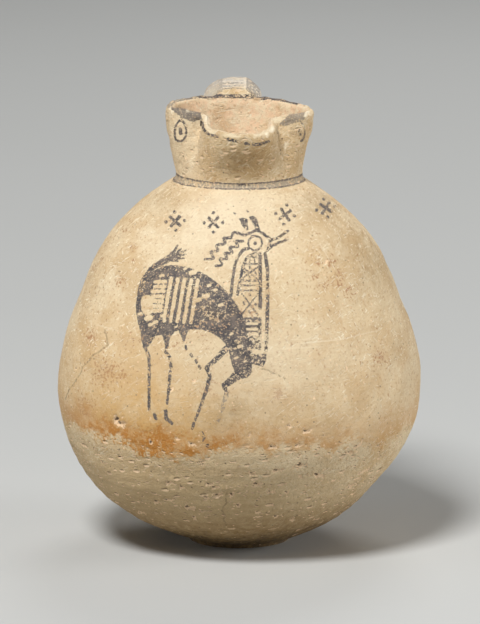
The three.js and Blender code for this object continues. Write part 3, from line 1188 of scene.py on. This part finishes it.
def pot_mesh():
    """The finished mesh with what its material reads stored on its points."""
    points, triangles = build_pot()
    normal = normals_of(points, triangles)
    outside = smoothstep(wall_depth(points), -0.5, 0.5)
    standing = smoothstep(points[:, 2], 0.2, 3)
    drawn = paint(points)
    pit, _, pit_shadow = pit_depth(points)
    crack = lines_depth(points, CRACKS)
    worn = worn_lip(points)
    layers = {
        "ink": drawn.depth, "strength": drawn.strength, "wash": drawn.wash, "pit": pit,
        "pit_shadow": pit_shadow, "tide": tide(points), "stain": stain_power(points),
        "dust": dust_power(points), "mottle": mottle(points), "painted_shade_and_dirt": painted_shade_and_dirt(points), "crack": crack,
        "scratch": lines_depth(points, SCRATCHES), "bare": np.clip(worn / BARE_WEAR, 0, 1),
        "inside": 1 - outside, "strap": smoothstep(off_wall(points), STAND_OFF, STRAP_CLEAR),
        "rough": roughness(points), "flaked": flaked(points), "painted_highlight": painted_highlight(points),
        "torn": torn_power(points),
    }
    flat = flat_places(points, triangles)
    rise = outside * standing * lift(points) - pit - CRACK_DEPTH * smoothstep(crack, -0.3, 0.1) - worn
    points = points + normal * rise[:, None] + lobe_rise(points)[:, None] * (0, 0, 1)
    pot = mesh_object("juglet_pot", points, triangles)
    pot.data.uv_layers.new(name="OFBake").data.foreach_set("uv", flat.astype(np.float32).ravel())
    for name, values in layers.items():
        layer = pot.data.attributes.new(name, "FLOAT", "POINT")
        layer.data.foreach_set("value", values.astype(np.float32))
    pot.data.polygons.foreach_set("use_smooth", np.ones(len(triangles), bool))
    pot.data.update()
    return pot


# Materials

def srgb(red, green, blue):
    """A colour as the eye sees it, 0 to 255, as linear light with full alpha."""
    share = np.array([red, green, blue]) / 255
    light = np.where(share <= 0.04045, share / 12.92, ((share + 0.055) / 1.055) ** 2.4)
    return (*light.tolist(), 1)


class Nodes:
    """Short calls for building a material's nodes."""

    def __init__(self, material):
        material.use_nodes = True
        self.tree = material.node_tree
        self.tree.nodes.clear()

    def add(self, kind, inputs, **settings):
        node = self.tree.nodes.new(kind)
        for name, value in settings.items():
            setattr(node, name, value)
        for name, value in inputs.items():
            if isinstance(value, bpy.types.NodeSocket):
                self.tree.links.new(value, node.inputs[name])
            else:
                node.inputs[name].default_value = value
        return node

    def surface(self, inputs):
        shader = self.add("ShaderNodeBsdfPrincipled", inputs)
        self.add("ShaderNodeOutputMaterial", {"Surface": shader.outputs[0]})

    def layer(self, name):
        return self.add("ShaderNodeAttribute", {}, attribute_name=name).outputs["Fac"]

    def vector(self, operation, a, b):
        return self.add("ShaderNodeVectorMath", {0: a, 1: b}, operation=operation).outputs[0]

    def math(self, operation, first, *more):
        """One operation on a row of values, from the first to the last."""
        for value in more:
            first = self.add("ShaderNodeMath", {0: first, 1: value}, operation=operation).outputs[0]
        return first

    times = partialmethod(math, "MULTIPLY")
    plus = partialmethod(math, "ADD")
    minus = partialmethod(math, "SUBTRACT")
    most = partialmethod(math, "MAXIMUM")
    least = partialmethod(math, "MINIMUM")

    def ramp(self, value, low, high, start=0, end=1):
        """Value from low to high brought smoothly to start to end."""
        inputs = {"Value": value, "From Min": low, "From Max": high, "To Min": start, "To Max": end}
        return self.add("ShaderNodeMapRange", inputs, interpolation_type="SMOOTHSTEP").outputs["Result"]

    def mix(self, share, a, b):
        return self.add("ShaderNodeMix", {0: share, 6: a, 7: b}, data_type="RGBA").outputs[2]

    def coats(self, colour, *coats):
        """A colour under further coats, each laid on by its own share."""
        for share, coat in coats:
            colour = self.mix(share, colour, coat)
        return colour

    def place(self, stretch=(1, 1, 1), turn=0):
        """Places in millimetres, turned in the front plane by degrees, then stretched."""
        coords = self.add("ShaderNodeTexCoord", {}).outputs["Object"]
        inputs = {"Vector": coords, "Angle": math.radians(turn)}
        coords = self.add("ShaderNodeVectorRotate", inputs, rotation_type="Y_AXIS").outputs[0]
        return self.vector("MULTIPLY", coords, tuple(1 / (MM * s) for s in stretch))

    def noise(self, size, detail=4, rough=0.55, stretch=(1, 1, 1), turn=0):
        """Noise with features of a size in millimetres."""
        inputs = {"Vector": self.place(stretch, turn), "Scale": 1 / size, "Detail": detail,
                  "Roughness": rough}
        return self.add("ShaderNodeTexNoise", inputs).outputs["Fac"]

    def strokes(self, wide, long, turn, low, high):
        """Short strokes of a width and a length in millimetres, turned in the front plane."""
        noise = self.noise(1, 2, 0.5, (long, long, wide), turn)
        return self.ramp(self.plus(noise, self.times(self.layer("rough"), 0.03)), low, high)

    def cells(self, places, gap):
        """Scattered cells about a gap apart, and random shares for each of them."""
        cells = self.add("ShaderNodeTexVoronoi", {"Vector": places, "Scale": 1 / gap}).outputs
        return cells, self.add("ShaderNodeSeparateColor", {"Color": cells["Color"]}).outputs

    def chips(self, gap, size, share, turn):
        """Small torn chips: the lower part of each, painted lit, the upper part, painted shade, and its
        bowl.
        """
        places = self.place((1.8, 1.8, 0.9), turn)
        ragged = self.add("ShaderNodeTexNoise", {"Vector": places, "Scale": 1.6 / size}).outputs["Color"]
        places = self.vector("ADD", places, self.vector("MULTIPLY", ragged, (size, size, size)))
        cells, pick = self.cells(places, gap)
        reach = self.ramp(pick[1], 0, 1, 0.5 * size / gap, 1.2 * size / gap)
        far = self.math("DIVIDE", cells["Distance"], reach)
        kept = self.times(self.layer("rough"), self.math("LESS_THAN", pick[0], share))
        kept = self.times(self.ramp(kept, 0.25, 0.9), self.layer("torn"))
        away = self.vector("SUBTRACT", places, cells["Position"])
        upward = self.add("ShaderNodeSeparateXYZ", {0: away}).outputs["Z"]
        inside = self.times(self.ramp(far, 1, 0.75), kept)
        lower = self.times(inside, self.ramp(upward, 0.4 * size, 0.1 * size))
        upper = self.times(inside, self.ramp(upward, 0.15 * size, 0.45 * size))
        return lower, upper, self.times(self.ramp(far, 1, 0), kept)

    def dots(self, gap, size, share):
        """Small dots about a gap apart, of which a share is kept."""
        cells, pick = self.cells(self.place(), gap)
        inside = self.ramp(cells["Distance"], size / gap, 0.6 * size / gap)
        return self.times(inside, self.math("LESS_THAN", pick[0], share))


CREAM = srgb(224, 201, 162)
PALE = srgb(238, 220, 186)
CHALK = srgb(248, 234, 206)
BUFF = srgb(205, 174, 130)
TAN = srgb(194, 156, 112)
ROSE = srgb(168, 118, 80)
RUST = srgb(184, 122, 50)
OCHRE = srgb(206, 162, 98)
DUST = srgb(203, 177, 135)
EARTH = srgb(148, 121, 84)
DIRT_AND_SHADE = srgb(138, 108, 64)
UMBER = srgb(112, 92, 66)
CHIP = srgb(246, 214, 176)
INK = srgb(78, 74, 75)
WORN_INK = srgb(122, 110, 101)
WASH = srgb(128, 121, 116)
# painted shade for pinholes and the pits' shadows
HOLE_SHADE = srgb(66, 52, 38)
INNER = srgb(238, 206, 170)
ASH = srgb(213, 205, 193)


class Noises:
    """The noises that several layers of the material share, named for their size."""

    def __init__(self, n):
        self.broad = n.noise(70)
        self.middle = n.noise(16, 6)
        self.patch = n.noise(9, 3)
        self.small = n.noise(3.2, 5, 0.6)
        self.fine = n.noise(1.1, 3, 0.6)
        self.grain = n.noise(0.55, 2, 0.6)
        self.streak = n.noise(9, 5, 0.6, stretch=(3, 3, 0.3))
        self.marks = n.most(
            n.strokes(0.55, 3.4, 38, 0.64, 0.7), n.strokes(0.5, 2.6, -55, 0.65, 0.71),
            n.strokes(0.45, 4.5, 8, 0.66, 0.72),
        )
        # torn holds the chips' lower parts, a painted highlight; shade their upper parts, a painted
        # shadow
        both = zip(n.chips(2.8, 0.95, 0.55, 8), n.chips(1.6, 0.52, 0.5, -14))
        self.torn, self.shade, self.bowl = (n.most(large, little) for large, little in both)


def slip(n, noise):
    """Cream slip: mottled, streaked by the wheel, with short pale scratches, red specks and a painted
    highlight.
    """
    mottle = n.most(n.layer("mottle"), n.ramp(n.noise(24, 4), 0.56, 0.76, 0, 0.6))
    speck = n.plus(noise.fine, n.times(mottle, 0.16))
    return n.coats(
        n.mix(n.ramp(noise.broad, 0.38, 0.66), CREAM, PALE),
        (n.ramp(noise.middle, 0.44, 0.66, 0, 0.7), BUFF),
        (n.ramp(n.noise(34, 5), 0.48, 0.68, 0, 0.3), OCHRE),
        (n.ramp(noise.streak, 0.5, 0.72, 0, 0.45), BUFF),
        (n.ramp(noise.small, 0.52, 0.74, 0, 0.45), TAN),
        (n.ramp(noise.fine, 0.4, 0.7, 0, 0.4), BUFF),
        (n.ramp(noise.grain, 0.48, 0.3, 0, 0.35), TAN),
        (n.times(mottle, 0.3), TAN),
        (n.ramp(speck, 0.61, 0.69, 0, 0.75), ROSE),
        (n.ramp(n.layer("scratch"), -0.25, 0.05, 0, 0.32), CHALK),
        # painted highlight on the shoulder, the belly and the neck's left side
        (n.layer("painted_highlight"), CHALK),
        (n.times(noise.marks, n.ramp(noise.patch, 0.4, 0.6, 0.45, 1)), CHALK),
    )


def other_faces(n, noise, clay):
    """The mottled inside, and the greyer strap."""
    inner = n.coats(
        n.mix(n.ramp(noise.small, 0.42, 0.62, 0, 0.8), INNER, PALE),
        (n.ramp(noise.patch, 0.46, 0.64, 0, 0.5), BUFF),
        (n.ramp(noise.fine, 0.55, 0.7, 0, 0.55), TAN),
        (n.times(noise.marks, 0.8), CHALK),
    )
    ashen = n.times(n.layer("strap"), n.ramp(noise.small, 0.35, 0.65, 0.9, 0.55))
    return n.coats(clay, (n.layer("inside"), inner), (ashen, ASH))


def aged(n, noise, clay):
    """The tide line with its rust, the dusty foot below it darkened towards the bottom as painted shade,
    painted shade with some dirt, pits and chips with painted shadows and highlights, cracks and bare
    clay.
    """
    tide = n.layer("tide")
    above = n.plus(
        tide, n.ramp(noise.small, 0.2, 0.8, -2.2, 2.2), n.ramp(noise.fine, 0.2, 0.8, -3, 3),
        n.ramp(noise.middle, 0.3, 0.7, -3.2, 3.2),
    )
    dust_and_shade = n.mix(n.ramp(noise.streak, 0.35, 0.7, 0, 0.4), DUST, EARTH)
    low = n.times(n.ramp(above, 2, -3), n.layer("dust"), n.ramp(tide, 0, -18, 0.62, 1))
    # below the tide line the dust coat thickens towards the bottom: painted shade of the lower body
    low = n.plus(low, n.ramp(tide, 0, -30, 0, 0.4))
    cloudy = n.ramp(n.plus(noise.patch, noise.small), 0.8, 1.15, 0.45, 1)
    cloudy = n.times(cloudy, n.layer("stain"), n.ramp(above, -3.5, 1.5))
    haze = n.times(n.ramp(above, 46, 2, 0, 0.95), cloudy)
    band = n.times(n.ramp(above, 13, 1, 0, 1.35), cloudy, n.ramp(noise.fine, 0.68, 0.5, 0.4, 1))
    yellow = n.times(n.minus(1, n.layer("strap")), n.ramp(tide, 90, 102, 0, 0.17))
    # painted shade, partly brown dirt, under the lip, by the neck, at the right edge and round the foot
    shade_and_dirt = n.times(n.layer("painted_shade_and_dirt"), n.ramp(noise.small, 0.3, 0.7, 0.5, 0.95))
    zone = n.ramp(n.layer("rough"), 0.3, 1, 0.55, 0.75)
    scratched = n.times(n.ramp(tide, 30, 90, 0.1, 0.6), n.ramp(tide, 90, 102, 1, 0.3))
    crack = n.plus(n.layer("crack"), n.ramp(noise.fine, 0.3, 0.7, -0.2, 0.2))
    return n.coats(
        clay,
        (n.least(low, 0.92), dust_and_shade),
        (n.least(haze, 0.9), OCHRE),
        (n.least(band, 0.95), RUST),
        (yellow, OCHRE),
        (n.least(shade_and_dirt, 0.9), n.mix(n.ramp(shade_and_dirt, 0.7, 1.1), DIRT_AND_SHADE, UMBER)),
        # dots for pinholes: the dark ones painted shade, the pale ones painted highlights
        (n.times(n.dots(3.2, 0.42, 0.4), zone), HOLE_SHADE),
        (n.times(n.dots(2.3, 0.4, 0.36), n.times(zone, 0.7)), EARTH),
        (n.times(n.dots(2.7, 0.5, 0.4), zone), CHIP),
        (n.times(noise.marks, scratched), PALE),
        # the chips' lower parts pale, partly bare clay and partly painted highlight; their upper parts
        # painted shade
        (n.times(noise.torn, 0.85), CHIP),
        (n.times(noise.shade, 0.6), UMBER),
        (n.times(n.layer("bare"), 0.85), PALE),
        (n.times(n.layer("flaked"), 0.85), CHALK),
        (n.ramp(crack, -0.32, 0.05, 0, 0.46), UMBER),
        (n.ramp(n.layer("pit"), 0.03, 0.18, 0, 0.8), CHIP),
        # painted shadow in the pits' upper left
        (n.ramp(n.layer("pit_shadow"), 0.2, 0.8, 0, 0.85), HOLE_SHADE),
    )


def painted(n, noise, clay):
    """Dark paint with ragged edges, flaked off in specks and worn in patches."""
    edge = n.plus(n.layer("ink"), n.ramp(noise.fine, 0.25, 0.75, -0.26, 0.26))
    wear = n.ramp(noise.patch, 0.42, 0.68, 0, 0.09)
    hold = n.plus(n.minus(n.times(n.layer("strength"), 0.26), wear), 0.36)
    kept = n.times(
        n.ramp(n.minus(hold, noise.fine), -0.025, 0.025, 0.08, 1),
        n.ramp(noise.grain, 0.63, 0.59, 0.35, 1), n.minus(1, n.layer("flaked")),
    )
    thin = n.minus(1, n.times(n.layer("wash"), 0.4))
    dark = n.coats(
        n.mix(n.ramp(noise.small, 0.35, 0.68), INK, WORN_INK),
        (n.ramp(noise.patch, 0.52, 0.68, 0, 0.35), UMBER),
        (n.ramp(n.layer("wash"), 0, 1), WASH),
    )
    return n.mix(n.times(n.ramp(edge, -0.12, 0.12), kept, thin), clay, dark)


def relief(n, noise):
    """Fine unevenness: rough on the neck and the foot, torn there, and scratched all over."""
    height = n.plus(n.times(noise.small, 0.9), n.times(noise.fine, 0.5), n.times(noise.grain, 0.12))
    height = n.times(height, n.layer("rough"))
    height = n.minus(height, n.times(noise.bowl, 0.55), n.times(noise.marks, 0.06))
    return n.add("ShaderNodeBump", {"Height": height, "Strength": 0.9, "Distance": 1.3 * MM}).outputs[0]


def clay_material():
    material = bpy.data.materials.new("painted_clay")
    n = Nodes(material)
    noise = Noises(n)
    n.surface({
        "Base Color": painted(n, noise, aged(n, noise, other_faces(n, noise, slip(n, noise)))),
        "Roughness": n.ramp(n.layer("rough"), 0.2, 0.8, 0.6, 0.9),
        "Normal": relief(n, noise), "Specular IOR Level": 0.35,
    })
    return material


def floor_material():
    material = bpy.data.materials.new("floor")
    n = Nodes(material)
    colour = n.mix(n.noise(900), srgb(190, 191, 189), srgb(197, 198, 196))
    n.surface({"Base Color": colour, "Roughness": 0.9})
    return material


# The stage

FLOOR_HALF = 8000
SENSOR = 36
IMAGE_HIGH = 624
MM_PER_PIXEL = 0.4
WORLD_STRENGTH = 0.07
LIGHT_AIM = Vector((0, 0, 90))

# Soft round lights: place, power in watts, width
LIGHTS = {
    "key": ((-610, -1260, 2010), 56.5, 700),
    "left": ((-1700, -150, 450), 4.4, 900),
    "right": ((1700, -150, 450), 14.5, 900),
    "back": ((300, 1500, 1400), 11, 900),
}


def make_floor():
    corners = np.array([(-1, -1, 0), (1, -1, 0), (1, 1, 0), (-1, 1, 0)]) * FLOOR_HALF
    floor = mesh_object("floor", corners, np.array([(0, 1, 2), (0, 2, 3)]))
    floor.data.materials.append(floor_material())


def make_light(name, place, power, size):
    data = bpy.data.lights.new(name, "AREA")
    data.energy = power
    data.shape = "DISK"
    data.size = size * MM
    light = bpy.data.objects.new(name, data)
    light.location = Vector(place) * MM
    light.rotation_euler = (Vector(place) - LIGHT_AIM).to_track_quat("Z", "Y").to_euler()
    bpy.context.scene.collection.objects.link(light)


def make_camera():
    data = bpy.data.cameras.new("camera")
    data.sensor_width = SENSOR
    data.lens = SENSOR * EYE_DISTANCE / (IMAGE_HIGH * MM_PER_PIXEL)
    data.clip_end = 50
    camera = bpy.data.objects.new("camera", data)
    camera.location = Vector(AIM + EYE_DISTANCE * EYE_WAY) * MM
    camera.rotation_euler = Vector(EYE_WAY).to_track_quat("Z", "Y").to_euler()
    bpy.context.scene.collection.objects.link(camera)
    bpy.context.scene.camera = camera


def make_world():
    world = bpy.data.worlds.new("studio")
    bpy.context.scene.world = world
    world.use_nodes = True
    light = world.node_tree.nodes["Background"].inputs
    light["Color"].default_value = srgb(208, 205, 198)
    light["Strength"].default_value = WORLD_STRENGTH


pot = pot_mesh()
pot.data.materials.append(clay_material())
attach(pot, "root")
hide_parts("juglet")

make_floor()
for name, (place, power, size) in LIGHTS.items():
    make_light(name, place, power, size)
make_world()
make_camera()
bpy.context.scene.view_settings.view_transform = "Standard"
